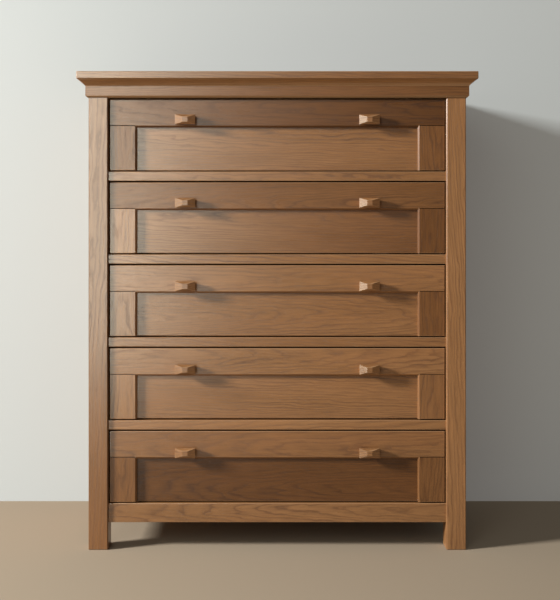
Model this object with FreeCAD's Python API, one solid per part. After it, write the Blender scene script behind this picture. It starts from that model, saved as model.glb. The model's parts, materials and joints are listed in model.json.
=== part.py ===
"""Tall chest of drawers: four square posts, front rails between inset drawers, framed sides, a screwed
back and a corniced top. Each drawer is a dovetailed box on wooden runners. Its front board carries an
applied top rail and two applied stiles, so the board shows between them as a recessed field.

Millimetres. +Z is up, the front faces -Y and +X is to the right of someone facing the front. The origin
is on the floor, under the middle of the whole chest with its cornice."""

import FreeCAD, Part
import os

from FreeCAD import Vector

# ---- Overall sizes -------------------------------------------------------------------------------
body_width = 902.0  # over the outer faces of the posts
body_depth = 450.0  # from the front posts' faces to the rear posts' faces
total_height = 1140.0
drawer_count = 5

# ---- Posts ---------------------------------------------------------------------------------------
post_size = 47.0
post_chamfer = 2.4  # on the arrises beside the front rails and the side rails
post_radius = 2.0  # on the outermost arris
foot_chamfer = 1.5
leg_clearance = 64.5  # floor to the underside of the apron and the side rails

# ---- Front rails ---------------------------------------------------------------------------------
rail_setback = 6.0  # rails lie this far behind the posts' faces
rail_radius = 1.5
divider_thickness = 22.5
apron_height = 45.5
top_rail_depth = 30.0
shoulder = 7.0  # step from a rail's surface to its tenon
mortise_relief = 1.0  # a mortise is this much deeper than its tenon
mortise_wall = 4.0  # timber between a front rail's mortise and the side panel's groove

# ---- Top and cornice -----------------------------------------------------------------------------
top_thickness = 17.0
top_overhang = 25.0  # at the front and both sides; the back is flush
top_radius = 1.5
cove_height = 15.5
cove_sagitta = 1.5
frieze_height = 27.0  # the part that shows below the cove
frieze_projection = 6.5
frieze_chamfer = 4.0

# ---- Sides and back ------------------------------------------------------------------------------
side_rail_height = 62.0
side_rail_thickness = 22.0
side_tenon_length = 18.0
panel_recess = 7.0  # from a side rail's outer face to its panel
panel_thickness = 9.0  # a side rail's tenon is as thick, and runs in the same groove
groove_depth = 8.0
panel_float = 1.0  # room at each edge of a side panel to swell
rear_rail_thickness = 22.0
back_thickness = 6.0
back_rebate_depth = 8.0
back_rebate_width = 12.0
back_edge_gap = 1.0

# ---- Runners, kickers and stops ------------------------------------------------------------------
runner_shelf = 30.0  # how far a runner stands inside the post's inner face
runner_post_gap = 0.5
guide_height = 15.0
tongue_length = 8.0
tongue_thickness = 8.0
tongue_margin = 5.0
post_tongue_margin = 3.5
stop_width = 40.0
stop_depth = 12.0
stop_height = 8.0
stop_below = 20.0  # how far the lowest stops reach down behind the apron
stop_offset = 250.0  # from the middle of the chest
stop_gap = 0.5

# ---- Drawers -------------------------------------------------------------------------------------
drawer_inset = 1.0  # drawer fronts lie this far behind the rails' faces
front_gap_above, front_gap_below = 3.5, 2.8  # over and under a drawer front
front_side_gap = 2.9
front_radius = 1.5
overlay_thickness = 10.0  # the applied rail and stiles
rail_flat, stile_flat = 62.4, 60.4  # width of their flat faces
sticking = 3.6  # bevel from those flats down towards the recessed field
joint_vee = 1.0
front_board_thickness = 12.0
box_side_thickness = 12.0
box_top_gap = 6.0
box_back_gap = 10.0  # from the drawer's back to the rear rails
box_back_thickness = 12.0
box_back_drop = 8.0  # the back board is this much lower than the sides
slide_clearance = 0.3
guide_clearance = 1.0
bottom_thickness = 6.0
bottom_height = 10.0  # from a side's lower edge to the groove
bottom_groove = 6.0
bottom_edge_gap = 0.5
dovetail_count = 4
dovetail_slope = 1.0 / 6.0
dovetail_pin = 7.0  # narrow end of a pin
socket_depth = 8.0

# ---- Knobs ---------------------------------------------------------------------------------------
knob_offset = 219.5  # from the middle of the chest
knob_drop = 49.5  # from a drawer front's upper edge
knob_width, knob_height = 48.0, 23.0
knob_base_width, knob_base_height = 38.0, 16.0
knob_neck = 13.0  # from the drawer front to the widest section
knob_band = 5.0
knob_facet = 5.0  # depth of the sloping facets
knob_flat = 12.0  # the square flat at the tip

# ---- Screws --------------------------------------------------------------------------------------
knob_screw_radius = 2.0
knob_screw_bite = 14.0  # into the knob
knob_screw_head_radius, knob_screw_head_height = 4.5, 2.4
screw_fit = 0.1  # a screw hole's radius over the shank's
bottom_screw_radius = 1.5
bottom_screw_bite = 14.0
bottom_screw_head_radius, bottom_screw_head_height = 3.0, 1.6
bottom_screw_inset = 60.0  # from a drawer's side
bottom_screws_per_drawer = 3
back_screw_radius = 1.5
back_screw_bite = 12.0
back_screw_head_radius, back_screw_head_height = 3.2, 1.8
back_screws_per_side, back_screws_per_rail = 6, 4
top_screw_radius = 2.2
top_screw_bite = 12.0
top_screw_grip = 20.0  # timber left between the counterbore and the top
top_screw_head_radius, top_screw_head_height = 4.2, 2.5
counterbore_radius = 5.5
top_screws_per_rail = 3

# ---- Derived places ------------------------------------------------------------------------------
half_width = body_width / 2
inner_x = half_width - post_size  # a post's inner face
front_y = -(body_depth + top_overhang) / 2 + top_overhang  # front faces of the front posts
back_y = front_y + body_depth
front_post_back = front_y + post_size
rear_post_front = back_y - post_size
top_underside = total_height - top_thickness
cornice_foot = top_underside - cove_height - frieze_height
apron_top = leg_clearance + apron_height
opening_height = (cornice_foot - apron_top - (drawer_count - 1) * divider_thickness) / drawer_count
rail_face = front_y + rail_setback
drawer_face = rail_face + drawer_inset
board_face = drawer_face + overlay_thickness
board_back = board_face + front_board_thickness
stop_face = board_back + stop_gap
rear_rail_back = back_y - back_rebate_depth
rear_rail_front = rear_rail_back - rear_rail_thickness
side_rail_face = half_width - rail_setback
side_rail_inside = side_rail_face - side_rail_thickness
panel_outside = side_rail_face - panel_recess
panel_inside = panel_outside - panel_thickness
tenon_length = panel_inside - inner_x - mortise_relief - mortise_wall
runner_thickness = divider_thickness  # flush with the divider rails above and below
post_tongue_width = side_rail_inside - inner_x - 2 * post_tongue_margin
box_half = inner_x - front_side_gap
box_inside = box_half - box_side_thickness
field_half = box_half - stile_flat - sticking  # half width of the recessed field
box_rear = rear_rail_front - box_back_gap
SIDES = (-1, 1)
NAMES = {-1: "left", 1: "right"}
TOLERANCE = 1e-4
HEAD_ROUNDING = 0.4  # of a screw head's height


# ---- Helpers -------------------------------------------------------------------------------------
def block(x0, x1, y0, y1, z0, z1):
    """A box between two corners, given in any order."""
    low = Vector(min(x0, x1), min(y0, y1), min(z0, z1))
    return Part.makeBox(abs(x1 - x0), abs(y1 - y0), abs(z1 - z0), low)


def edges_at(shape, **places):
    """The edges whose two ends both lie at the given x, y or z."""
    found = []
    for edge in shape.Edges:
        ends = [vertex.Point for vertex in edge.Vertexes]
        if all(abs(getattr(p, axis) - value) < TOLERANCE for p in ends for axis, value in places.items()):
            found.append(edge)
    return found


def rounded(shape, radius, *places):
    """The shape with the edges at each of the places rounded."""
    edges = [edge for place in places for edge in edges_at(shape, **place)]
    return shape.makeFillet(radius, edges)


def chamfered(shape, size, *places):
    """The shape with the edges at each of the places chamfered."""
    edges = [edge for place in places for edge in edges_at(shape, **place)]
    return shape.makeChamfer(size, edges)


def prism(points, along):
    """The polygon through the points, extruded by the vector along."""
    return Part.Face(Part.makePolygon(points + points[:1])).extrude(along)


def frustum(first, second):
    """The solid between two four-cornered loops whose corners correspond."""
    faces = [first, second]
    faces += [[first[i], first[(i + 1) % 4], second[(i + 1) % 4], second[i]] for i in range(4)]
    shell = Part.Shell([Part.Face(Part.makePolygon(loop + loop[:1])) for loop in faces])
    solid = Part.Solid(shell)
    if solid.Volume < 0:
        solid.reverse()
    return solid


def rod(radius, start, end):
    """A round bar from start to end."""
    return Part.makeCylinder(radius, (end - start).Length, start, end - start)


def screw(shank_radius, head_radius, head_height, under_head, tip):
    """A pan-head screw: the head stands on under_head and the shank runs to tip."""
    direction = (tip - under_head).normalize()
    head = rod(head_radius, under_head - direction * head_height, under_head)
    rims = [edge for edge in head.Edges if len(edge.Vertexes) == 1]
    upper = max(rims, key=lambda edge: edge.BoundBox.Center.distanceToPoint(under_head))
    head = head.makeFillet(head_height * HEAD_ROUNDING, [upper])
    return head.fuse(rod(shank_radius, under_head, tip)).removeSplitter()


def save(name, solids):
    """Writes one node, from one solid or a list of separate solids."""
    solids = solids if isinstance(solids, list) else [solids]
    for solid in solids:
        if not solid.isValid() or len(solid.Solids) != 1:
            raise ValueError(name + " holds a shape that isn't one valid solid")
    shape = Part.makeCompound([s.Solids[0] for s in solids]) if len(solids) > 1 else solids[0].Solids[0]
    shape.exportStep("parts/" + name + ".step")


def spaced(count, reach):
    """Evenly spaced places from -reach to reach."""
    return [-reach + 2 * reach * i / (count - 1) for i in range(count)]


def base_level(level):
    """Height of the surface that a drawer rides on, counted from the lowest drawer."""
    return apron_top + level * (opening_height + divider_thickness)


# ---- Rails between the posts ---------------------------------------------------------------------
def end_tenon(side, y0, y1, z0, z1, relief=0.0):
    """The tenon on one end of a rail of this section, or with relief its mortise."""
    return block(
        side * inner_x, side * (inner_x + tenon_length + relief),
        y0 + shoulder, y1 - shoulder, z0 + shoulder, z1 - shoulder,
    )


def cross_rail(y0, y1, z0, z1, *eased):
    """A rail from post to post along X, tenoned at both ends, with the named arrises rounded."""
    rail = block(-inner_x, inner_x, y0, y1, z0, z1)
    if eased:
        rail = rounded(rail, rail_radius, *eased)
    return rail.fuse([end_tenon(side, y0, y1, z0, z1) for side in SIDES]).removeSplitter()


divider_section = (rail_face, front_post_back)
apron_section = (rail_face, stop_face, leg_clearance, apron_top)
top_rail_section = (front_y, front_y + top_rail_depth, cornice_foot, top_underside)
rear_rail_sections = [
    (rear_rail_front, rear_rail_back, leg_clearance, leg_clearance + side_rail_height),
    (rear_rail_front, rear_rail_back, top_underside - side_rail_height, top_underside),
]


def divider_levels():
    """Lower and upper face of each divider rail, from the lowest up."""
    return [(base_level(n) - divider_thickness, base_level(n)) for n in range(1, drawer_count)]


def runner_tongue(side, rail_back, z0, relief=0.0):
    """The tongue from a runner's front end into the rail in front of it."""
    middle = z0 + runner_thickness / 2
    return block(
        side * (inner_x - runner_shelf + tongue_margin), side * (inner_x - tongue_margin),
        rail_back - tongue_length - relief, rail_back,
        middle - tongue_thickness / 2, middle + tongue_thickness / 2,
    )


def post_tongue(side, z0, relief=0.0):
    """The tongue from a runner's rear end into the rear post."""
    middle = z0 + runner_thickness / 2
    centre = (inner_x + side_rail_inside) / 2
    return block(
        side * (centre - post_tongue_width / 2), side * (centre + post_tongue_width / 2),
        rear_post_front, rear_post_front + tongue_length + relief,
        middle - tongue_thickness / 2, middle + tongue_thickness / 2,
    )


def top_screw_places():
    """(x, y, underside of the rail) for each screw that holds the top."""
    reach = inner_x - 2 * post_size
    front = (front_y + top_rail_depth / 2, cornice_foot)
    rear = ((rear_rail_front + rear_rail_back) / 2, top_underside - side_rail_height)
    return [(x, y, z) for y, z in (front, rear) for x in spaced(top_screws_per_rail, reach)]


def top_screw_hole(x, y, rail_underside):
    """Counterbore from below, then the shank's hole up into the top."""
    seat = Vector(x, y, top_underside - top_screw_grip)
    tip = Vector(x, y, top_underside + top_screw_bite)
    bore = rod(counterbore_radius, Vector(x, y, rail_underside), seat)
    return bore.fuse(rod(top_screw_radius + screw_fit, seat, tip))


def front_rails():
    """The apron, the divider rails and the hidden top rail."""
    y0, y1, z0, z1 = apron_section
    apron = cross_rail(y0, y1, z0, z1, {"y": y0, "z": z0}, {"y": y0, "z": z1})
    apron = apron.cut([runner_tongue(s, y1, z1 - runner_thickness, mortise_relief) for s in SIDES])
    save("apron_rail", apron)

    y0, y1 = divider_section
    for number, (z0, z1) in enumerate(divider_levels(), 1):
        rail = cross_rail(y0, y1, z0, z1, {"y": y0, "z": z0}, {"y": y0, "z": z1})
        rail = rail.cut([runner_tongue(s, y1, z1 - runner_thickness, mortise_relief) for s in SIDES])
        save(f"divider_rail_{number}", rail)

    y0, y1, z0, z1 = top_rail_section
    rail = cross_rail(y0, y1, z0, z1)
    rail = rail.cut([runner_tongue(s, y1, z0, mortise_relief) for s in SIDES])
    rail = rail.cut([top_screw_hole(*place) for place in top_screw_places() if place[1] < 0])
    save("front_top_rail", rail)


def rear_rails():
    """The lower and upper rails that the back is screwed to."""
    lower, upper = [cross_rail(*section) for section in rear_rail_sections]
    upper = upper.cut([top_screw_hole(*place) for place in top_screw_places() if place[1] > 0])
    holes = [back_screw_hole(*place) for place in back_screw_places()]
    save("rear_rails", [lower.cut(holes), upper.cut(holes)])


# ---- Sides ---------------------------------------------------------------------------------------
def side_rail_levels():
    """Lower and upper face of the two rails of a side."""
    return [
        (leg_clearance, leg_clearance + side_rail_height),
        (top_underside - side_rail_height, top_underside),
    ]


def side_tenon(side, z0, z1, relief=0.0):
    """A side rail's two tenons, as one bar from post to post, or with relief their mortises."""
    reach = side_tenon_length + relief
    return block(
        side * panel_inside, side * panel_outside,
        front_post_back - reach, rear_post_front + reach,
        z0 + shoulder, z1 - shoulder,
    )


def side_groove(side):
    """The groove that holds a side's panel, through its rails and along its posts."""
    (_, low), (high, _) = side_rail_levels()
    return block(
        side * panel_inside, side * panel_outside,
        front_post_back - groove_depth, rear_post_front + groove_depth,
        low - groove_depth, high + groove_depth,
    )


def side_frames():
    """The rails and the floating panel of both sides."""
    rails = []
    panels = []
    for side in SIDES:
        groove = side_groove(side)
        for z0, z1 in side_rail_levels():
            outside = side * side_rail_face
            rail = block(outside, side * side_rail_inside, front_post_back, rear_post_front, z0, z1)
            rail = rounded(rail, rail_radius, {"x": outside, "z": z0}, {"x": outside, "z": z1})
            rails.append(rail.fuse(side_tenon(side, z0, z1)).cut(groove).removeSplitter())
        room = groove.BoundBox
        panels.append(
            block(
                side * panel_inside, side * panel_outside,
                room.YMin + panel_float, room.YMax - panel_float,
                room.ZMin + panel_float, room.ZMax - panel_float,
            )
        )
    save("side_rails", rails)
    save("side_panels", panels)


# ---- Posts ---------------------------------------------------------------------------------------
def plain_post(side, y0, outer_y, rail_y):
    """A post with its arrises eased: round at the outermost one, bevelled beside the rails."""
    outside = side * half_width
    post = block(outside, side * inner_x, y0, y0 + post_size, 0, top_underside)
    bevelled = [{"x": outside, "y": rail_y}]
    if outer_y == front_y:
        bevelled.append({"x": side * inner_x, "y": front_y})
    post = chamfered(post, post_chamfer, *bevelled)
    post = rounded(post, post_radius, {"x": outside, "y": outer_y})
    return post.makeChamfer(foot_chamfer, edges_at(post, z=0))


def back_rebate(side):
    """The step in a rear post that the back lies in."""
    return block(
        side * inner_x, side * (inner_x + back_rebate_width),
        rear_rail_back, back_y, leg_clearance, top_underside,
    )


def posts():
    """Four posts with their mortises, grooves and rebates."""
    front_sections = [apron_section, top_rail_section]
    front_sections += [(*divider_section, z0, z1) for z0, z1 in divider_levels()]
    screw_holes = [back_screw_hole(*place) for place in back_screw_places()]
    for side in SIDES:
        side_cuts = [side_tenon(side, z0, z1, mortise_relief) for z0, z1 in side_rail_levels()]
        side_cuts.append(side_groove(side))
        mortises = [end_tenon(side, *section, mortise_relief) for section in front_sections]
        front = plain_post(side, front_y, front_y, front_post_back)
        save(f"front_{NAMES[side]}_post", front.cut(mortises + side_cuts))

        mortises = [end_tenon(side, *section, mortise_relief) for section in rear_rail_sections]
        sockets = [post_tongue(side, z0, mortise_relief) for z0 in runner_levels()]
        rear = plain_post(side, rear_post_front, back_y, rear_post_front)
        cuts = mortises + side_cuts + sockets + [back_rebate(side)] + screw_holes
        save(f"rear_{NAMES[side]}_post", rear.cut(cuts))


# ---- Back ----------------------------------------------------------------------------------------
def back_outline():
    """Half width, lower edge and upper edge of the back."""
    half = inner_x + back_rebate_width - back_edge_gap
    return half, leg_clearance + back_edge_gap, top_underside - back_edge_gap


def back_screw_places():
    """(x, z) of each screw in the back, up both sides and along both rails."""
    half, low, high = back_outline()
    post_x = inner_x + back_rebate_width / 2 - back_edge_gap
    rail_low, rail_high = low + side_rail_height / 2, high - side_rail_height / 2
    middle = (rail_low + rail_high) / 2
    rises = spaced(back_screws_per_side, (rail_high - rail_low) / 2)
    up = [(side * post_x, middle + rise) for side in SIDES for rise in rises]
    along = [(x, z) for z in (rail_low, rail_high) for x in spaced(back_screws_per_rail, inner_x / 2)]
    return up + along


def back_screw_hole(x, z):
    start = Vector(x, back_y, z)
    depth = Vector(0, back_rebate_depth + back_screw_bite, 0)
    return rod(back_screw_radius + screw_fit, start, start - depth)


def back():
    half, low, high = back_outline()
    panel = block(-half, half, rear_rail_back, rear_rail_back + back_thickness, low, high)
    save("back_panel", panel.cut([back_screw_hole(*place) for place in back_screw_places()]))


# ---- Cornice and top -----------------------------------------------------------------------------
def frieze_profile():
    """(outwards, upwards) corners of the frieze strip, from the post's face and the top's underside."""
    drop = cove_height + frieze_height
    out = frieze_projection
    bevel = [(out, frieze_chamfer - drop), (out - frieze_chamfer, -drop)]
    return [(0, 0), (out, 0), *bevel, (0, -drop)]


def cove_face(place, along):
    """A length of cove moulding: place(out, up) gives a point, and along is its run."""
    deep = top_overhang - frieze_projection
    chord = (deep**2 + cove_height**2) ** 0.5
    middle = (
        deep / 2 - cove_sagitta * cove_height / chord,
        -cove_height / 2 + cove_sagitta * deep / chord,
    )
    inner, outer, foot = (0, 0), (deep, 0), (0, -cove_height)
    hollow = Part.Arc(place(*outer), place(*middle), place(*foot)).toShape()
    top = Part.makeLine(place(*inner), place(*outer))
    back_edge = Part.makeLine(place(*foot), place(*inner))
    return Part.Face(Part.Wire([top, hollow, back_edge])).extrude(along)


def mitred(start, depth, front_run, side_runs):
    """The front run and the two side runs of a moulding, cut to mitres at the front corners.
    start is how far the moulding's inner face lies outside the posts."""
    x0, x1 = half_width + start, half_width + start + depth
    y0, y1 = front_y - start, front_y - start - depth
    low, high = cornice_foot, top_underside
    up = Vector(0, 0, high - low)
    front_plan = [(-x1, y1), (x1, y1), (x0, y0), (-x0, y0)]
    pieces = [front_run.common(prism([Vector(x, y, low) for x, y in front_plan], up))]
    for side in SIDES:
        plan = [(side * x1, y1), (side * x1, back_y), (side * x0, back_y), (side * x0, y0)]
        pieces.append(side_runs[side].common(prism([Vector(x, y, low) for x, y in plan], up)))
    return pieces


def runs(face, start, depth):
    """The unmitred runs of a moulding along the front and both sides. face(place, along) makes one."""
    reach = half_width + start + depth
    corner_y = front_y - start - depth

    def on_front(out, up):
        return Vector(-reach, front_y - start - out, top_underside + up)

    def on_left(out, up):
        return Vector(-half_width - start - out, corner_y, top_underside + up)

    def on_right(out, up):
        return Vector(half_width + start + out, corner_y, top_underside + up)

    front = face(on_front, Vector(2 * reach, 0, 0))
    length = Vector(0, back_y - corner_y, 0)
    sides = {-1: face(on_left, length), 1: face(on_right, length)}
    return mitred(start, depth, front, sides)


def cornice():
    """The frieze with a packer behind each side run, flush with the posts, and the cove on its face."""
    def strip(place, along):
        return prism([place(*corner) for corner in frieze_profile()], along)

    packers = [
        block(
            side * side_rail_face, side * half_width,
            front_post_back, rear_post_front, cornice_foot, top_underside,
        )
        for side in SIDES
    ]
    save("frieze_strips", runs(strip, 0.0, frieze_projection) + packers)
    save("cove_mouldings", runs(cove_face, frieze_projection, top_overhang - frieze_projection))


def top_board():
    reach = half_width + top_overhang
    lip = front_y - top_overhang
    board = block(-reach, reach, lip, back_y, top_underside, total_height)
    eased = [{"x": side * reach, "y": lip} for side in SIDES]
    for z in (top_underside, total_height):
        eased += [{"y": lip, "z": z}, {"x": -reach, "z": z}, {"x": reach, "z": z}]
    board = rounded(board, top_radius, *eased)
    save("top_board", board.cut([top_screw_hole(*place) for place in top_screw_places()]))


# ---- Runners, kickers and stops ------------------------------------------------------------------
def runner_levels():
    """Lower face of each runner, from the lowest up, then of the kickers over the top drawer."""
    return [base_level(n) - runner_thickness for n in range(drawer_count)] + [cornice_foot]


def bearer(side, rail_back, z0):
    """A strip from the rail in front to the rear post, tongued into both."""
    z1 = z0 + runner_thickness
    shelf = inner_x - runner_shelf
    strip = block(side * shelf, side * side_rail_inside, front_post_back, rear_post_front, z0, z1)
    tongues = [runner_tongue(side, rail_back, z0), post_tongue(side, z0)]
    if rail_back < front_post_back - TOLERANCE:
        edge = inner_x - runner_post_gap
        tongues.append(block(side * shelf, side * edge, rail_back, front_post_back, z0, z1))
    return strip.fuse(tongues).removeSplitter()


def runners():
    """A runner with its guide under each side of every drawer, and two kickers over the top one."""
    *levels, kicker_level = runner_levels()
    pieces = [bearer(side, front_y + top_rail_depth, kicker_level) for side in SIDES]
    for number, z0 in enumerate(levels):
        rail_back = front_post_back if number else stop_face
        for side in SIDES:
            top = z0 + runner_thickness
            pieces.append(bearer(side, rail_back, z0))
            pieces.append(
                block(
                    side * (box_half + guide_clearance), side * side_rail_inside,
                    front_post_back, rear_post_front, top, top + guide_height,
                )
            )
    save("drawer_runners", pieces)


def stops():
    """Two blocks behind each drawer front that it closes against."""
    pieces = []
    for level in range(drawer_count):
        z0 = base_level(level) if level else base_level(0) - stop_below
        for side in SIDES:
            x = side * stop_offset
            z1 = base_level(level) + stop_height
            left, right = x - stop_width / 2, x + stop_width / 2
            pieces.append(block(left, right, stop_face, stop_face + stop_depth, z0, z1))
    save("drawer_stops", pieces)


# ---- Drawers -------------------------------------------------------------------------------------
def tails(side, y_root, y_tip, z0, z1):
    """Dovetails on the end of a drawer side, from their roots to their wider tips."""
    pitch = (z1 - z0) / dovetail_count
    spread = abs(y_tip - y_root) * dovetail_slope
    pieces = []
    for n in range(dovetail_count):
        low, high = z0 + n * pitch + dovetail_pin / 2, z0 + (n + 1) * pitch - dovetail_pin / 2
        outline = [(y_tip, low), (y_tip, high), (y_root, high - spread), (y_root, low + spread)]
        points = [Vector(side * box_inside, y, z) for y, z in outline]
        pieces.append(prism(points, Vector(side * box_side_thickness, 0, 0)))
    return pieces


def front_heights(level):
    """Lower and upper edge of a drawer front."""
    base = base_level(level)
    return base + front_gap_below, base + opening_height - front_gap_above


def field_cutter(low, joint):
    """Takes the bevel off the applied frame around the field, which is open below."""

    def loop(half, y, upper):
        corners = [(-half, low - sticking), (half, low - sticking), (half, upper), (-half, upper)]
        return [Vector(x, y, z) for x, z in corners]

    deep = loop(field_half, drawer_face + sticking, joint - sticking)
    wide = loop(field_half + sticking, drawer_face, joint)
    return frustum(deep, wide)


def joint_line(joint, low, high):
    """The fine vee between the applied rail and the stiles' upper ends."""
    corners = [(0, -joint_vee), (joint_vee, 0), (0, joint_vee)]
    start = [Vector(-box_half, drawer_face + y, joint + z) for y, z in corners]
    vee = prism(start, Vector(2 * box_half, 0, 0))
    inner = field_half + sticking
    return vee.cut(block(-inner, inner, drawer_face, board_face, low, high))


def knob_places(level):
    """Middle of each knob's base on the drawer's face."""
    _, high = front_heights(level)
    return [Vector(side * knob_offset, drawer_face, high - knob_drop) for side in SIDES]


def knob_screw_ends(place):
    """Under the head and at the tip of a knob's screw."""
    return Vector(place.x, board_back, place.z), Vector(place.x, drawer_face - knob_screw_bite, place.z)


def knob_screw_hole(place):
    return rod(knob_screw_radius + screw_fit, *knob_screw_ends(place))


def front_frame(level):
    """The applied rail and the two applied stiles."""
    low, high = front_heights(level)
    joint = high - rail_flat
    edge = box_half
    shaping = [field_cutter(low, joint), joint_line(joint, low, high)]
    holes = [knob_screw_hole(place) for place in knob_places(level)]

    rail = block(-edge, edge, drawer_face, board_face, joint, high)
    ends = [{"x": side * edge, "y": drawer_face} for side in SIDES]
    rail = rounded(rail, front_radius, {"y": drawer_face, "z": high}, *ends)
    lip = block(-field_half, field_half, drawer_face, board_face, joint - sticking, joint)
    rail = rail.fuse(lip).cut(shaping + holes).removeSplitter()

    stiles = []
    for side in SIDES:
        stile = block(side * field_half, side * edge, drawer_face, board_face, low, joint)
        outer, lower = {"x": side * edge, "y": drawer_face}, {"y": drawer_face, "z": low}
        stiles.append(rounded(stile, front_radius, outer, lower).cut(shaping).removeSplitter())
    return rail, stiles


def box_heights(level):
    """Lower and upper edge of a drawer's sides."""
    base = base_level(level)
    return base + slide_clearance, base + opening_height - box_top_gap


def box_boards(level):
    """Front board, two sides, back and bottom of a drawer box."""
    low, high = box_heights(level)
    front_low, front_high = front_heights(level)
    groove_low = low + bottom_height
    groove_high = groove_low + bottom_thickness
    back_low, back_high = groove_high, high - box_back_drop
    back_face = box_rear - box_back_thickness
    tail_root, tail_tip = board_back, board_back - socket_depth
    tail_low, tail_high = max(low, front_low), min(high, front_high)

    front = block(-box_half, box_half, board_face, board_back, front_low, front_high)
    front = rounded(front, front_radius, {"y": board_face, "z": front_low})
    front = front.cut(
        block(-box_inside, box_inside, board_back - bottom_groove, board_back, groove_low, groove_high)
    )
    sides = []
    back = block(-box_inside, box_inside, back_face, box_rear, back_low, back_high)
    for side in SIDES:
        front_tails = tails(side, tail_root, tail_tip, tail_low, tail_high)
        front = front.cut(front_tails)
        rear_tails = tails(side, back_face, box_rear, back_low, back_high)
        x0, x1 = side * box_inside, side * box_half
        pins = block(x0, x1, back_face, box_rear, back_low, back_high).cut(rear_tails)
        back = back.fuse(pins)
        board = block(x0, x1, board_back, box_rear, low, high)
        board = rounded(board, front_radius, {"x": x0, "z": high}, {"x": x1, "z": high})
        groove_x = side * (box_inside + bottom_groove)
        groove = block(x0, groove_x, tail_tip, box_rear, groove_low, groove_high)
        sides.append(board.fuse(front_tails).cut([pins, groove]).removeSplitter())
    knob_holes = [knob_screw_hole(place) for place in knob_places(level)]
    reach = box_inside + bottom_groove - bottom_edge_gap
    edge = board_back - bottom_groove + bottom_edge_gap
    bottom_holes = [bottom_screw_hole(*ends) for ends in bottom_screw_ends(level)]
    bottom = block(-reach, reach, edge, box_rear, groove_low, groove_high).cut(bottom_holes)
    back = back.removeSplitter().cut(bottom_holes)
    return front.cut(knob_holes).removeSplitter(), sides, back, bottom


def bottom_screw_ends(level):
    """Under the head and at the tip of each screw that holds a drawer's bottom to its back."""
    low, _ = box_heights(level)
    y = box_rear - box_back_thickness / 2
    under = low + bottom_height
    rise = Vector(0, 0, bottom_thickness + bottom_screw_bite)
    places = [Vector(x, y, under) for x in spaced(bottom_screws_per_drawer, box_inside - bottom_screw_inset)]
    return [(place, place + rise) for place in places]


def bottom_screw_hole(start, end):
    return rod(bottom_screw_radius + screw_fit, start, end)


def knob(place):
    """A wooden knob: a base that widens to a band, then four facets up to a square flat."""

    def loop(width, height, out):
        corners = [(-1, -1), (1, -1), (1, 1), (-1, 1)]
        return [place + Vector(x * width / 2, -out, z * height / 2) for x, z in corners]

    sections = [
        loop(knob_base_width, knob_base_height, 0.0),
        loop(knob_width, knob_height, knob_neck),
        loop(knob_width, knob_height, knob_neck + knob_band),
        loop(knob_flat, knob_flat, knob_neck + knob_band + knob_facet),
    ]
    solids = [frustum(first, second) for first, second in zip(sections, sections[1:])]
    return solids[0].fuse(solids[1:]).removeSplitter().cut(knob_screw_hole(place))


def drawer_screws(level):
    """One screw through the front into each knob, and a row through the bottom into the back."""
    knob_head = (knob_screw_head_radius, knob_screw_head_height)
    bottom_head = (bottom_screw_head_radius, bottom_screw_head_height)
    pieces = [screw(knob_screw_radius, *knob_head, *knob_screw_ends(p)) for p in knob_places(level)]
    pieces += [screw(bottom_screw_radius, *bottom_head, *ends) for ends in bottom_screw_ends(level)]
    return pieces


def drawers():
    """Drawer 1 is the top one."""
    for level in range(drawer_count):
        name = f"drawer_{drawer_count - level}_"
        rail, stiles = front_frame(level)
        front, sides, back_board, bottom = box_boards(level)
        save(name + "front_rail", rail)
        save(name + "front_stiles", stiles)
        save(name + "front_board", front)
        save(name + "sides", sides)
        save(name + "back", back_board)
        save(name + "bottom", bottom)
        save(name + "knobs", [knob(place) for place in knob_places(level)])
        save(name + "screws", drawer_screws(level))


# ---- Carcass screws ------------------------------------------------------------------------------
def carcass_screws():
    """The screws that hold the back and the top."""
    pieces = []
    for x, z in back_screw_places():
        seat = Vector(x, rear_rail_back + back_thickness, z)
        tip = Vector(x, rear_rail_back - back_screw_bite, z)
        head = (back_screw_head_radius, back_screw_head_height)
        pieces.append(screw(back_screw_radius, *head, seat, tip))
    for x, y, _ in top_screw_places():
        seat = Vector(x, y, top_underside - top_screw_grip)
        tip = Vector(x, y, top_underside + top_screw_bite)
        head = (top_screw_head_radius, top_screw_head_height)
        pieces.append(screw(top_screw_radius, *head, seat, tip))
    save("carcass_screws", pieces)


os.makedirs("parts", exist_ok=True)
posts()
front_rails()
rear_rails()
side_frames()
back()
cornice()
top_board()
runners()
stops()
drawers()
carcass_screws()
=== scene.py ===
"""The looks of the tall chest of drawers: every board cut from its own place in a log, in stained oak or,
inside the drawers, in paler wood, with softened arrises, lit from the left. Sizes are in metres."""

import json
import math
import random
from collections import namedtuple

import bmesh
import bpy
from mathutils import Matrix, Vector
from mathutils.kdtree import KDTree

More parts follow.
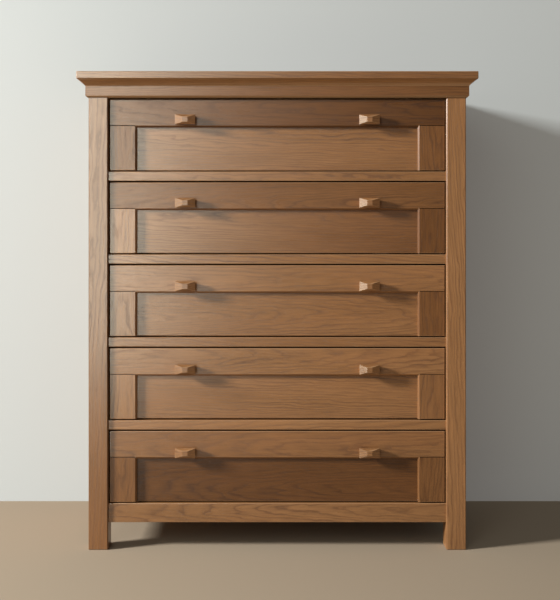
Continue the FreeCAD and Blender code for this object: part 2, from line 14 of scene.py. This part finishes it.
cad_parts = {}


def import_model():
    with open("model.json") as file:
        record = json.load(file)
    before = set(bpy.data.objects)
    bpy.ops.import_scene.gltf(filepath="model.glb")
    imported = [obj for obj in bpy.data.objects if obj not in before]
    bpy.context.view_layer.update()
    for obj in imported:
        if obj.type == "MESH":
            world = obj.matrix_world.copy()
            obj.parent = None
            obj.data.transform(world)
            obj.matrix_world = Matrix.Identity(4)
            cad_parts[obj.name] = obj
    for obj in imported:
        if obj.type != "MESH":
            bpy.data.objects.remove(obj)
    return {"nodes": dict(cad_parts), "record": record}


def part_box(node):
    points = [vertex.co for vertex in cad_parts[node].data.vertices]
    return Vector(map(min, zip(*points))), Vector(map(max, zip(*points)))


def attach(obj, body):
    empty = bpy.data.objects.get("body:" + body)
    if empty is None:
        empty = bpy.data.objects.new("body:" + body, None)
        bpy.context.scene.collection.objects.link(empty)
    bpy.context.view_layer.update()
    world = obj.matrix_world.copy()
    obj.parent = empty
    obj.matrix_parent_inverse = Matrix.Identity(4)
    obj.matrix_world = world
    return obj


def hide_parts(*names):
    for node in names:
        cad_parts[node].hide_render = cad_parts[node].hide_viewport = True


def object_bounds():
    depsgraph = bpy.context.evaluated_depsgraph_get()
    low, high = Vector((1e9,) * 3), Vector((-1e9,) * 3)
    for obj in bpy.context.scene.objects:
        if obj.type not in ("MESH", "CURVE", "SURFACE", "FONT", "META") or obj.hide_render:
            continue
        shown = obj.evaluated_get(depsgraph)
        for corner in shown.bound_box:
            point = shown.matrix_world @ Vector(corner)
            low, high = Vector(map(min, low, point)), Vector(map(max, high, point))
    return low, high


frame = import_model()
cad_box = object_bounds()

MM = 0.001
AXES = {"x": Vector((1, 0, 0)), "y": Vector((0, 1, 0)), "z": Vector((0, 0, 1))}


# ---- Materials -----------------------------------------------------------------------------------
class Nodes:
    """Short forms for building a material's node tree."""

    def __init__(self, material):
        material.use_nodes = True
        self.tree = material.node_tree
        self.shader = self.tree.nodes["Principled BSDF"]

    def new(self, kind):
        return self.tree.nodes.new(kind)

    def link(self, source, target):
        self.tree.links.new(source, target)

    def _put(self, socket, value):
        if isinstance(value, bpy.types.NodeSocket):
            self.link(value, socket)
        elif value is not None:
            socket.default_value = value

    def math(self, operation, a, b=None, c=None, clamp=False):
        node = self.new("ShaderNodeMath")
        node.operation = operation
        node.use_clamp = clamp
        for socket, value in zip(node.inputs, (a, b, c)):
            self._put(socket, value)
        return node.outputs[0]

    def vector(self, operation, a, b=None, scale=None):
        node = self.new("ShaderNodeVectorMath")
        node.operation = operation
        self._put(node.inputs[0], a)
        self._put(node.inputs[1], b)
        if scale is not None:
            self._put(node.inputs["Scale"], scale)
        return node.outputs["Value" if operation == "LENGTH" else "Vector"]

    def noise(self, vector, detail=2.0, roughness=0.5, scale=1.0, colour=False):
        node = self.new("ShaderNodeTexNoise")
        self._put(node.inputs["Vector"], vector)
        node.inputs["Scale"].default_value = scale
        node.inputs["Detail"].default_value = detail
        node.inputs["Roughness"].default_value = roughness
        return node.outputs["Color" if colour else "Fac"]

    def ramp(self, fac, stops):
        """A smooth curve through (place, value) stops."""
        node = self.new("ShaderNodeValToRGB")
        node.color_ramp.interpolation = "EASE"
        elements = node.color_ramp.elements
        while len(elements) < len(stops):
            elements.new(0.5)
        for element, (place, value) in zip(elements, stops):
            element.position = place
            element.color = (value, value, value, 1)
        self.link(fac, node.inputs["Fac"])
        return node.outputs["Color"]

    def step(self, value, low, high, out_low=0.0, out_high=1.0):
        """A smooth step from low to high."""
        node = self.new("ShaderNodeMapRange")
        node.interpolation_type = "SMOOTHSTEP"
        for socket, number in zip(node.inputs, (value, low, high, out_low, out_high)):
            self._put(socket, number)
        return node.outputs[0]

    def mix(self, fac, a, b):
        node = self.new("ShaderNodeMix")
        node.data_type = "RGBA"
        for socket, value in ((node.inputs[0], fac), (node.inputs[6], a), (node.inputs[7], b)):
            self._put(socket, value)
        return node.outputs[2]

    def attribute(self, name, output="Fac"):
        node = self.new("ShaderNodeAttribute")
        node.attribute_name = name
        return node.outputs[output]


def srgb(red, green, blue):
    """A colour given as it looks on a screen, from 0 to 255, as linear light."""
    linear = []
    for value in (red, green, blue):
        value /= 255
        linear.append(value / 12.92 if value <= 0.04045 else ((value + 0.055) / 1.055) ** 2.4)
    return (*linear, 1)


# ---- Camera, floor and light ---------------------------------------------------------------------
LENS, SENSOR = 62.8, 36.0  # mm
CAMERA_DISTANCE = 2.5  # in front of the front posts
CAMERA_HEIGHT = 0.738
CAMERA_LEFT = 0.02
SHIFT_X, SHIFT_Y = 0.0185, -0.0983

# Each light's place, what it faces, its width and height, its power in watts and its colour.
CHEST_MIDDLE = (0.0, -0.2, 0.6)
KEY = ((-5.2, -2.0, 2.55), CHEST_MIDDLE, (0.9, 0.9), 600, (1.0, 0.985, 0.965))
FILL = ((-1.2, -4.6, 2.4), CHEST_MIDDLE, (2.4, 2.0), 27, (1.0, 0.96, 0.86))
SHEEN = ((-1.3, -2.9, 1.15), (-1.3, 0.0, 1.15), (1.5, 2.1), 95, (0.92, 1.0, 0.90))
AMBIENT_COLOUR, AMBIENT_STRENGTH = (1.0, 0.97, 0.92, 1), 0.14
SKY_COLOUR = (0.72, 0.73, 0.72, 1)  # what the camera sees where there is neither floor nor wall

FLOOR_COLOUR, FLOOR_ROUGHNESS = (0.378, 0.303, 0.215), 0.9
WALL_COLOUR, WALL_ROUGHNESS = (0.465, 0.508, 0.51), 1.0
WALL_GLOW_COLOUR, WALL_GLOW = (1.0, 0.92, 0.87, 1), 0.09  # lifts the shadow that falls on the wall
WALL_GAP = 0.02  # behind the chest
# Painted shade: between these two places across the wall, its colour rises from this share to the whole
# of it, so that it is darker towards the key light.
WALL_DIM_FROM, WALL_DIM_TO, WALL_DIMMEST = -3.2, -0.7, 0.3
STAGE_REACH, WALL_HEIGHT = 14.0, 6.0


def camera():
    post_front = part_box("front_left_post")[0].y
    data = bpy.data.cameras.new("camera")
    data.lens = LENS
    data.sensor_width = SENSOR
    data.shift_x, data.shift_y = SHIFT_X, SHIFT_Y
    obj = bpy.data.objects.new("camera", data)
    obj.location = (-CAMERA_LEFT, post_front - CAMERA_DISTANCE, CAMERA_HEIGHT)
    obj.rotation_euler = (math.radians(90), 0, 0)
    bpy.context.scene.collection.objects.link(obj)
    bpy.context.scene.camera = obj


def area_light(name, place, target, size, power, colour):
    """A rectangular light at place that faces target."""
    data = bpy.data.lights.new(name, "AREA")
    data.shape = "RECTANGLE"
    data.size, data.size_y = size
    data.energy = power
    data.color = colour
    obj = bpy.data.objects.new(name, data)
    obj.location = place
    obj.rotation_euler = (Vector(target) - Vector(place)).to_track_quat("-Z", "Y").to_euler()
    bpy.context.scene.collection.objects.link(obj)
    return obj


def lights():
    """A low key from the left, a weak fill, and a light that shows only as a sheen on the varnish."""
    area_light("key", *KEY)
    area_light("fill", *FILL)
    area_light("sheen", *SHEEN).visible_diffuse = False


def world():
    """Faint light from all round, and a pale sky for the camera."""
    sky = bpy.data.worlds.new("world")
    bpy.context.scene.world = sky
    sky.use_nodes = True
    tree = sky.node_tree
    background = tree.nodes["Background"]
    path = tree.nodes.new("ShaderNodeLightPath")
    seen = tree.nodes.new("ShaderNodeBackground")
    mix = tree.nodes.new("ShaderNodeMixShader")
    background.inputs["Color"].default_value = AMBIENT_COLOUR
    background.inputs["Strength"].default_value = AMBIENT_STRENGTH
    seen.inputs["Color"].default_value = SKY_COLOUR
    tree.links.new(path.outputs["Is Camera Ray"], mix.inputs[0])
    tree.links.new(background.outputs[0], mix.inputs[1])
    tree.links.new(seen.outputs[0], mix.inputs[2])
    tree.links.new(mix.outputs[0], tree.nodes["World Output"].inputs["Surface"])


def plain_material(name, colour, roughness):
    material = bpy.data.materials.new(name)
    shader = Nodes(material).shader
    shader.inputs["Base Color"].default_value = (*colour, 1)
    shader.inputs["Roughness"].default_value = roughness
    return material


def sheet_of(name, outline, material):
    mesh = bpy.data.meshes.new(name)
    mesh.from_pydata(outline, [], [range(len(outline))])
    mesh.materials.append(material)
    obj = bpy.data.objects.new(name, mesh)
    bpy.context.scene.collection.objects.link(obj)
    return obj


def wall_material():
    """Plain and pale, clear from behind, and painted greyer towards the key light as painted shade, so
    that it stays short of white beside it. A faint glow is painted light that lifts the shadow falling on
    it."""
    material = plain_material("wall", WALL_COLOUR, WALL_ROUGHNESS)
    nodes = Nodes(material)
    # Painted light: a faint glow that lifts the shadow on the wall.
    nodes.shader.inputs["Emission Color"].default_value = WALL_GLOW_COLOUR
    nodes.shader.inputs["Emission Strength"].default_value = WALL_GLOW
    geometry = nodes.new("ShaderNodeNewGeometry")
    place = nodes.new("ShaderNodeSeparateXYZ")
    nodes.link(geometry.outputs["Position"], place.inputs[0])
    # Painted shade: the wall's colour is darker towards the key light.
    share = nodes.step(place.outputs["X"], WALL_DIM_FROM, WALL_DIM_TO, WALL_DIMMEST, 1.0)
    nodes.link(nodes.vector("SCALE", WALL_COLOUR, scale=share), nodes.shader.inputs["Base Color"])
    clear = nodes.new("ShaderNodeBsdfTransparent")
    mix = nodes.new("ShaderNodeMixShader")
    nodes.link(geometry.outputs["Backfacing"], mix.inputs[0])
    nodes.link(nodes.shader.outputs[0], mix.inputs[1])
    nodes.link(clear.outputs[0], mix.inputs[2])
    nodes.link(mix.outputs[0], nodes.tree.nodes["Material Output"].inputs["Surface"])
    return material


def stage():
    """A pale floor, and a pale wall that lights and shades nothing and shows only from the front."""
    left, right = -STAGE_REACH, STAGE_REACH
    floor_outline = [(left, left, 0), (right, left, 0), (right, right, 0), (left, right, 0)]
    sheet_of("floor", floor_outline, plain_material("floor", FLOOR_COLOUR, FLOOR_ROUGHNESS))
    y, top = cad_box[1].y + WALL_GAP, WALL_HEIGHT
    wall_outline = [(left, y, 0), (right, y, 0), (right, y, top), (left, y, top)]
    wall = sheet_of("wall", wall_outline, wall_material())
    wall.visible_diffuse = False
    wall.visible_shadow = False


# ---- Wood ----------------------------------------------------------------------------------------
RING_WIDTH = 5.2 * MM
# How dark a ring is through its year: (part of the year, darkness).
RING_SHADE = [(0.0, 0.2), (0.14, 1.0), (0.42, 0.3), (0.75, 0.0), (1.0, 0.2)]
TONE_DEEPENING = (1.0, 1.2, 1.5)  # a darker board loses blue before green and green before red
# The darkest an arris is painted: stain kept in the vees between boards, and a painted darkening on the
# posts' chamfers.
ARRIS_DARK = srgb(40, 22, 10)
BUMP_STRENGTH, BUMP_DEPTH = 0.35, 0.25 * MM


def scaled(colour, red, green, blue):
    return (colour[0] * red, colour[1] * green, colour[2] * blue, 1)


def wood(name, latewood, earlywood, worn_and_lit, roughness, figure, gloss=0.5):
    """Wood cut from a log. The attribute "grain" holds each point's place in its log: x runs along the
    pith and y, z across it. "tone" lightens or darkens a board from end to end. A third attribute is
    above 0 where an arris is painted pale, as rubbing on most boards and as painted light on the frieze's
    chamfer that faces down into shade, and below 0 where it is painted dark, as stain kept in a vee
    between boards and as a painted darkening on the posts' chamfers."""
    material = bpy.data.materials.new(name)
    nodes = Nodes(material)
    nodes.shader.inputs["Specular IOR Level"].default_value = gloss
    place = nodes.attribute("grain", "Vector")

    def drawn_out(along, across, **options):
        """Noise with so many waves in a metre along the log and across it."""
        return nodes.noise(nodes.vector("MULTIPLY", place, (along, across, across)), **options)

    def waver(along, across, width):
        """A sideways shift of the rings by up to half of width."""
        noise = drawn_out(along, across, detail=3.0, colour=True)
        shift = nodes.vector("SUBTRACT", noise, (0.5, 0.5, 0.5))
        return nodes.vector("MULTIPLY", shift, (0.0, width, width))

    # The growth rings, wavering along the log.
    sway = waver(2.2, 9.0, 30 * MM)
    jitter = waver(20.0, 45.0, 7 * MM)
    wavering = nodes.vector("ADD", nodes.vector("ADD", place, sway), jitter)
    across = nodes.vector("MULTIPLY", wavering, (0.0, 1.0, 1.0))
    radius = nodes.vector("LENGTH", across)
    seasons = nodes.noise(nodes.vector("MULTIPLY", across, (60.0, 60.0, 60.0)), detail=1.0)
    years = nodes.math("MULTIPLY", radius, 1 / RING_WIDTH)
    age = nodes.math("ADD", years, nodes.math("MULTIPLY", seasons, 2.0))
    ring = nodes.ramp(nodes.math("FRACT", age), RING_SHADE)
    strength = nodes.step(drawn_out(3.0, 30.0), 0.3, 0.7, 0.55, 1.0)
    figured = nodes.math("MULTIPLY", ring, nodes.math("MULTIPLY", strength, figure))

    # Fibre streaks and open pores, drawn out along the grain.
    streak = drawn_out(12.0, 330.0, detail=4.0, roughness=0.65)
    fine = drawn_out(70.0, 1500.0)
    open_pores = nodes.math("MULTIPLY_ADD", ring, 0.7, 0.3)
    pores = nodes.math("MULTIPLY", nodes.step(fine, 0.56, 0.70), open_pores)

    # Slow changes of colour over the board.
    cloud = drawn_out(2.6, 16.0)
    warm = drawn_out(1.7, 11.0)

    colour = nodes.mix(figured, latewood, earlywood)
    redder = scaled(latewood, 1.05, 0.96, 0.90)
    colour = nodes.mix(nodes.step(warm, 0.35, 0.75, 0.0, 0.5), colour, redder)
    value = nodes.math("MULTIPLY_ADD", cloud, 0.30, 0.85)
    value = nodes.math("MULTIPLY", value, nodes.math("MULTIPLY_ADD", streak, 0.9, 0.55))
    value = nodes.math("MULTIPLY", value, nodes.math("MULTIPLY_ADD", pores, -0.30, 1.0))
    tone = nodes.new("ShaderNodeCombineXYZ")
    for socket, deepening in zip(tone.inputs, TONE_DEEPENING):
        nodes.link(nodes.math("POWER", nodes.attribute("tone"), deepening), socket)
    colour = nodes.vector("MULTIPLY", nodes.vector("SCALE", colour, scale=value), tone.outputs[0])
    # Arrises paled by rubbing, and the frieze's downward chamfer paled as painted light; towards the dark
    # colour go the stain in the vees and a painted darkening on the posts' chamfers.
    rubbed = nodes.math("MULTIPLY", nodes.attribute("wear"), 0.7, clamp=True)
    stained = nodes.math("MULTIPLY", nodes.attribute("wear"), -0.8, clamp=True)
    colour = nodes.mix(stained, nodes.mix(rubbed, colour, worn_and_lit), ARRIS_DARK)
    nodes.link(colour, nodes.shader.inputs["Base Color"])

    # Earlywood and open pores are duller than the rest.
    rough = nodes.math("MULTIPLY_ADD", figured, 0.07, roughness)
    rough = nodes.math("MULTIPLY_ADD", pores, 0.16, rough)
    rough = nodes.math("MULTIPLY_ADD", cloud, 0.10, nodes.math("SUBTRACT", rough, 0.05))
    nodes.link(rough, nodes.shader.inputs["Roughness"])

    height = nodes.math("MULTIPLY_ADD", figured, -0.35, nodes.math("MULTIPLY", streak, 0.35))
    height = nodes.math("MULTIPLY_ADD", pores, -0.6, height)
    bump = nodes.new("ShaderNodeBump")
    bump.inputs["Strength"].default_value = BUMP_STRENGTH
    bump.inputs["Distance"].default_value = BUMP_DEPTH
    nodes.link(height, bump.inputs["Height"])
    nodes.link(bump.outputs[0], nodes.shader.inputs["Normal"])
    return material


def zinc(name):
    """Zinc-plated steel, bright in places and dull in others."""
    material = bpy.data.materials.new(name)
    nodes = Nodes(material)
    nodes.shader.inputs["Metallic"].default_value = 1.0
    coordinates = nodes.new("ShaderNodeTexCoord").outputs["Object"]
    dull = nodes.noise(coordinates, detail=4.0, scale=900.0)
    colour = nodes.mix(dull, srgb(196, 194, 186), srgb(140, 138, 132))
    nodes.link(colour, nodes.shader.inputs["Base Color"])
    nodes.link(nodes.math("MULTIPLY_ADD", dull, 0.25, 0.25), nodes.shader.inputs["Roughness"])
    return material


# ---- Boards --------------------------------------------------------------------------------------
SAME_CORNER = 0.002 * MM  # corners of triangles this near are one corner of the solid
FLAT_ANGLE = math.radians(0.3)  # faces that meet at less are one face

# On a board, and on a small piece: the gentlest edge that is eased, and the gentlest that stays a crease.
EASED_ANGLE, SMALL_EASED_ANGLE = math.radians(35), math.radians(20)
CREASE_ANGLE, SMALL_CREASE_ANGLE = math.radians(32), math.radians(12)
LONG_SHARE = 0.6  # of a board's length, which an edge has to run to be eased
SMALL_LENGTH = 4 * MM  # the same for a small piece
VEE_REACH = 0.8 * MM  # above and below the height at which two boards of a drawer's front meet

# Ranges for where a board lay in its log: off centre, out from the pith, leaning from it, and along it.
FLAT_OFF_CENTRE, FLAT_FROM_PITH = (-0.35, 0.35), (0.035, 0.07)  # a share of its width, and metres
RIFT_OFF_CENTRE, RIFT_FROM_PITH = (0.10, 0.16), (0.05, 0.10)
SIDE_LEAN, FACE_LEAN = (-0.8, 0.8), (1.5, 3.5)  # degrees
ALONG_LOG = (2, 40)


def solids_of(node):
    """The separate solids of a CAD node as cleaned bmeshes, in order of place. A solid's triangles lie
    together in the node's mesh, so each solid ends where no edge is left without a neighbour."""
    mesh = frame["nodes"][node].data
    tree = KDTree(len(mesh.vertices))
    for vertex in mesh.vertices:
        tree.insert(vertex.co, vertex.index)
    tree.balance()
    place = [min(near[1] for near in tree.find_range(v.co, SAME_CORNER)) for v in mesh.vertices]
    made, triangles, lonely = [], [], set()
    for polygon in mesh.polygons:
        ends = [place[i] for i in polygon.vertices]
        if len(set(ends)) < len(ends):
            continue
        triangles.append(ends)
        for edge in zip(ends, ends[1:] + ends[:1]):
            if edge[::-1] in lonely:
                lonely.remove(edge[::-1])
            else:
                lonely.add(edge)
        if lonely:
            continue
        part, at = bmesh.new(), {}
        for triangle in triangles:
            for i in triangle:
                if i not in at:
                    at[i] = part.verts.new(mesh.vertices[i].co)
            part.faces.new([at[i] for i in triangle])
        bmesh.ops.dissolve_limit(part, angle_limit=FLAT_ANGLE, verts=part.verts, edges=part.edges)
        made.append(part)
        triangles = []
    if triangles:
        raise ValueError(node + " holds a solid that isn't closed")
    return sorted(made, key=lambda part: tuple(round(c, 4) for c in middle(part)))


def corners(part):
    low = Vector(min(v.co[i] for v in part.verts) for i in range(3))
    high = Vector(max(v.co[i] for v in part.verts) for i in range(3))
    return low, high


def middle(part):
    low, high = corners(part)
    return (low + high) / 2


def ease(part, grain, width, small):
    """Softens the long sharp arrises of a board, or nearly every arris of a small piece."""
    low, high = corners(part)
    long_enough = LONG_SHARE * (high - low).dot(grain)
    gentlest = SMALL_EASED_ANGLE if small else EASED_ANGLE
    chosen = []
    for edge in part.edges:
        if not edge.is_manifold or not edge.is_convex or edge.calc_face_angle() < gentlest:
            continue
        run = edge.verts[1].co - edge.verts[0].co
        if small and run.length > SMALL_LENGTH or abs(run.dot(grain)) > long_enough:
            chosen.append(edge)
    bmesh.ops.bevel(
        part, geom=chosen, offset=width, offset_type="WIDTH", segments=2, profile=0.5,
        affect="EDGES", clamp_overlap=False,
    )


def corner_normals(part, gentle_angle):
    """A normal for each corner of each face. Faces that meet gently share one, mostly the largest's."""
    weight = {face: face.calc_area() ** 3 for face in part.faces}
    gentle = {edge for edge in part.edges if edge.is_manifold and edge.calc_face_angle() < gentle_angle}
    normals = []
    for face in part.faces:
        for corner in face.loops:
            group, queue = {face}, [face]
            while queue:
                for edge in gentle.intersection(corner.vert.link_edges).intersection(queue.pop().edges):
                    new = set(edge.link_faces) - group
                    group |= new
                    queue += new
            normals.append(sum((f.normal * weight[f] for f in group), Vector((0, 0, 0))).normalized())
    return normals


def wear_of(face, arris, vee_z):
    """How much paler a narrow strip that faces no axis is painted, as rubbing on most boards and as
    painted light on the frieze's downward chamfer, and how much darker, below 0, on the posts' chamfers.
    It is -1 inside the fine vee between two boards that meet at the height vee_z, and 0 off the arrises."""
    if max(abs(c) for c in face.normal) > 0.99:
        return 0.0
    longest = max(edge.calc_length() for edge in face.edges)
    if face.calc_area() / longest > arris.widest:
        return 0.0
    return -1.0 if vee_z and abs(face.calc_center_median().z - vee_z) < VEE_REACH else arris.rubbed


def log_of(part, grain, seed, sawn):
    """Where a board lay in its log, as a matrix from the board's place to the log's."""
    draw = random.Random(seed)
    low, high = corners(part)
    size = high - low
    others = [axis for axis in AXES.values() if axis != grain]
    across, through = sorted(others, key=lambda axis: -size.dot(axis))
    if sawn == "flat":
        off_centre = draw.uniform(*FLAT_OFF_CENTRE) * size.dot(across)
        from_pith = draw.uniform(*FLAT_FROM_PITH)
    else:
        off_centre = draw.choice((-1, 1)) * draw.uniform(*RIFT_OFF_CENTRE)
        from_pith = draw.uniform(*RIFT_FROM_PITH)
    turn = Matrix((grain, across, through)).to_4x4()
    lean = Matrix.Rotation(math.radians(draw.uniform(*SIDE_LEAN)), 4, "Z")
    lean = lean @ Matrix.Rotation(math.radians(draw.choice((-1, 1)) * draw.uniform(*FACE_LEAN)), 4, "Y")
    to_middle = Matrix.Translation(-(low + high) / 2)
    to_place = Matrix.Translation((draw.uniform(*ALONG_LOG), off_centre, from_pith))
    return to_place @ lean @ turn @ to_middle


def keep(mesh, name, kind, domain, field, values):
    """Stores one value for each point or face of the mesh, for its material to read."""
    mesh.attributes.new(name, kind, domain).data.foreach_set(field, values)


def board(name, part, grain, cut, small, arris, vee_z, tone):
    """One finished board from one CAD solid. Its tone runs evenly from its left end to its right."""
    log = log_of(part, grain, name, cut.sawn)
    if cut.eased:
        ease(part, grain, cut.eased, small)
    bmesh.ops.recalc_face_normals(part, faces=part.faces)
    # Marks on the arrises: rubbing, painted light on the frieze's chamfer, a painted darkening on the
    # posts' chamfers and stain in the vees.
    wear = [wear_of(face, arris, vee_z) for face in part.faces]
    for face in part.faces:
        face.smooth = True
    normals = corner_normals(part, SMALL_CREASE_ANGLE if small else CREASE_ANGLE)
    mesh = bpy.data.meshes.new(name)
    part.to_mesh(mesh)
    part.free()
    mesh.normals_split_custom_set(normals)
    left, right = min(v.co.x for v in mesh.vertices), max(v.co.x for v in mesh.vertices)
    places = [(v.co.x - left) / (right - left) for v in mesh.vertices]
    in_log = [c for v in mesh.vertices for c in log @ v.co]
    tones = [tone[0] + (tone[1] - tone[0]) * at for at in places]
    keep(mesh, "grain", "FLOAT_VECTOR", "POINT", "vector", in_log)
    keep(mesh, "tone", "FLOAT", "POINT", "value", tones)
    keep(mesh, "wear", "FLOAT", "FACE", "value", wear)
    obj = bpy.data.objects.new(name, mesh)
    bpy.context.scene.collection.objects.link(obj)
    return obj


# ---- The chest -----------------------------------------------------------------------------------
# Latewood, earlywood, and the paler wood on arrises: real rubbing on most boards, painted light on the
# frieze's downward chamfer.
OAK_COLOURS = srgb(148, 105, 65), srgb(104, 66, 35), srgb(172, 134, 98)
PALE_COLOURS = srgb(170, 137, 98), srgb(142, 110, 74), srgb(182, 152, 115)
OAK_FINISH, PALE_FINISH = (0.27, 0.85), (0.6, 0.6)  # roughness, and how strong the figure is
DULL_GLOSS = 0.35
DULL_BELOW = 0.78  # the tone under which a board took enough stain to look dull
OAK = wood("oak", *OAK_COLOURS, *OAK_FINISH)
PANEL_OAK = wood("panel_oak", *OAK_COLOURS, *OAK_FINISH)
DULL_OAK = wood("dull_oak", *OAK_COLOURS, *OAK_FINISH, DULL_GLOSS)
BOX_WOOD = wood("box_wood", *PALE_COLOURS, *PALE_FINISH)
STEEL = zinc("zinc")
WOODS = {"oak_frame": OAK, "oak_panel": PANEL_OAK, "drawer_box_wood": BOX_WOOD}

# Grain direction (None is the longest side), how it was sawn, and the width of its eased arrises.
Cut = namedtuple("Cut", "axis sawn eased")
CUTS = {
    "post": Cut("z", "rift", 0.8 * MM),
    "side_rails": Cut("y", "rift", 0.6 * MM),
    "side_panels": Cut("z", "flat", 0.0),
    "back_panel": Cut("z", "flat", 0.5 * MM),
    "top_board": Cut("x", "flat", 0.0),
    "cove_mouldings": Cut(None, "rift", 0.3 * MM),
    "frieze_strips": Cut(None, "rift", 0.5 * MM),
    "drawer_runners": Cut("y", "rift", 0.8 * MM),
    "drawer_stops": Cut("x", "rift", 0.8 * MM),
    "rear_rails": Cut("x", "rift", 0.8 * MM),
    "front_top_rail": Cut("x", "rift", 0.0),
    "apron_rail": Cut("x", "flat", 0.6 * MM),
    "divider_rail": Cut("x", "rift", 0.6 * MM),
    "front_rail": Cut("x", "flat", 0.0),
    "front_stiles": Cut("z", "flat", 0.0),
    "front_board": Cut("x", "flat", 0.5 * MM),
    "sides": Cut("y", "flat", 0.0),
    "back": Cut("x", "flat", 0.6 * MM),
    "bottom": Cut("x", "flat", 0.0),
    "knobs": Cut("x", "rift", 0.4 * MM),
}
# The widest strip that is an arris, and how much paler it is painted or, below 0, how much darker:
# rubbing on most arrises, painted light on the frieze's chamfer that faces down into shade, and a painted
# darkening on the posts' chamfers.
Arris = namedtuple("Arris", "widest rubbed")
# Painted light: the frieze's chamfer, which faces down into shade, is painted pale. The posts' chamfers
# are painted darker.
ARRISES = {"frieze_strips": Arris(6 * MM, 1.0), "post": Arris(6 * MM, -0.35)}
USUAL_ARRIS = Arris(2.2 * MM, 1.0)
# How light a board is beside the rest. A pair is its left and right ends.
TONES = {
    "front_left_post": 0.87, "front_right_post": 1.2,
    "divider_rail_1": 1.12, "divider_rail_3": 1.12, "apron_rail": 1.02,
    "top_board": (0.99, 0.80), "cove_mouldings": (1.13, 1.36), "frieze_strips": (0.82, 0.62),
    "drawer_1_front_rail": (0.68, 0.40), "drawer_1_front_board": 1.03,
    "drawer_1_front_stiles.1": 0.72, "drawer_1_front_stiles.2": 0.7,
    "drawer_2_front_rail": (0.82, 0.70), "drawer_2_front_board": (1.12, 0.62),
    "drawer_2_front_stiles.1": 1.15, "drawer_2_front_stiles.2": 0.56,
    "drawer_3_front_rail": 1.04, "drawer_3_front_board": 1.04, "drawer_3_front_stiles.2": 0.66,
    "drawer_4_front_rail": 1.07, "drawer_4_front_board": 1.05,
    "drawer_4_front_stiles.1": 1.1, "drawer_4_front_stiles.2": 0.88,
    "drawer_5_front_rail": 0.91, "drawer_5_front_board": 0.48,
    "drawer_5_front_stiles.1": 0.75, "drawer_5_front_stiles.2": 0.7,
}


def cut_of(node):
    found = [key for key in CUTS if node == key or node.endswith("_" + key) or node.startswith(key)]
    return CUTS[max(found, key=len)]


def tone_of(name, node):
    tone = TONES.get(name, TONES.get(node, 1.0))
    return tone if isinstance(tone, tuple) else (tone, tone)


def boards_of(node, body, slot):
    """Replaces one wooden CAD node by a board for each of its solids."""
    cut = cut_of(node)
    small = node.endswith("_knobs")
    arris = next((ARRISES[key] for key in ARRISES if key in node), USUAL_ARRIS)
    # The name of a node in a drawer starts with the drawer's name, which has 8 letters.
    vee_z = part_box(node[:8] + "_front_stiles")[1].z if "_front_" in node else None
    parts = solids_of(node)
    for number, part in enumerate(parts, 1):
        low, high = corners(part)
        size = high - low
        grain = AXES[cut.axis] if cut.axis else max(AXES.values(), key=size.dot)
        name = f"{node}.{number}" if len(parts) > 1 else f"{node}.wood"
        tone = tone_of(name, node)
        obj = board(name, part, grain, cut, small, arris, vee_z, tone)
        obj.data.materials.append(DULL_OAK if sum(tone) / 2 < DULL_BELOW else WOODS[slot])
        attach(obj, body)
        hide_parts(node)


def chest():
    """Every wooden node as boards. The screws keep their CAD meshes."""
    record = frame["record"]
    slots = {entry["node"]: entry["material_slot"] for entry in record["subparts"]}
    for body, nodes in record["behaviour"]["bodies"].items():
        for node in nodes:
            if slots[node] == "screw_steel":
                mesh = frame["nodes"][node].data
                mesh.materials.clear()
                mesh.materials.append(STEEL)
            else:
                boards_of(node, body, slots[node])


camera()
lights()
world()
stage()
chest()

scene = bpy.context.scene
scene.view_settings.view_transform = "Standard"
